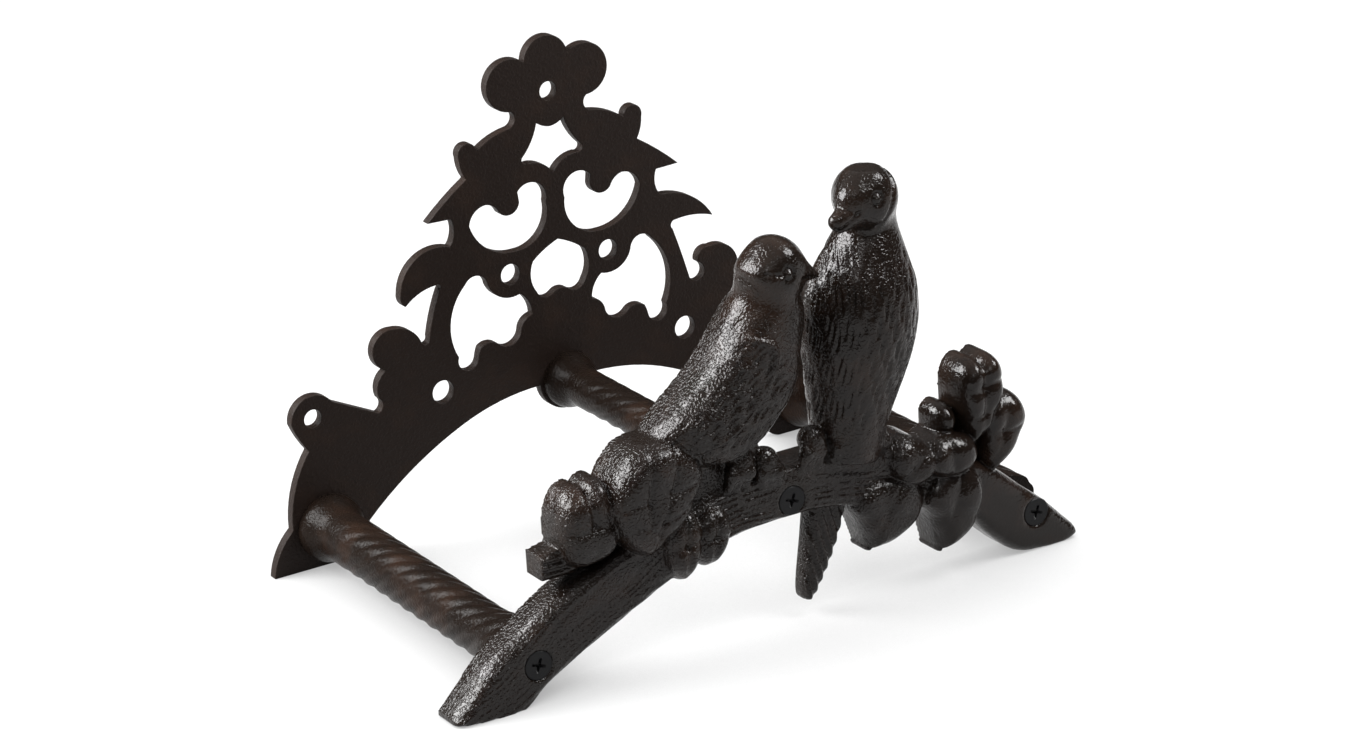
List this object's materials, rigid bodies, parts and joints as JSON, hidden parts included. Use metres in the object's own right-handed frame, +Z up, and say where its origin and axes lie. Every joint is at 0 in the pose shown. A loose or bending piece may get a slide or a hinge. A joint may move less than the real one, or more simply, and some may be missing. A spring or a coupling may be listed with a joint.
{
  "type": "garden hose hanger",
  "caption": "Wall-mounted cast-iron hose hanger: openwork scroll plate, rope-twisted bars and a front casting of a leafy arched branch with perched birds.",
  "frame": {"origin": "middle of the top fixing hole, on the wall plane", "axes": "+Z up along the wall, +Y into the wall, +X to the right as seen from the front; the hanger stands out towards -Y"},
  "size_m": [0.285, 0.1845, 0.1958],
  "materials": {
    "painted_casting": "dark brown satin paint over sand-cast grain",
    "black_screw": "satin black"
  },
  "bodies": {
    "root": {"wall_plate": "painted_casting", "left_bar": "painted_casting", "centre_bar": "painted_casting", "right_bar": "painted_casting", "front_casting": "painted_casting", "front_screws": "black_screw", "rear_screws": "black_screw"}
  },
  "joints": []
}
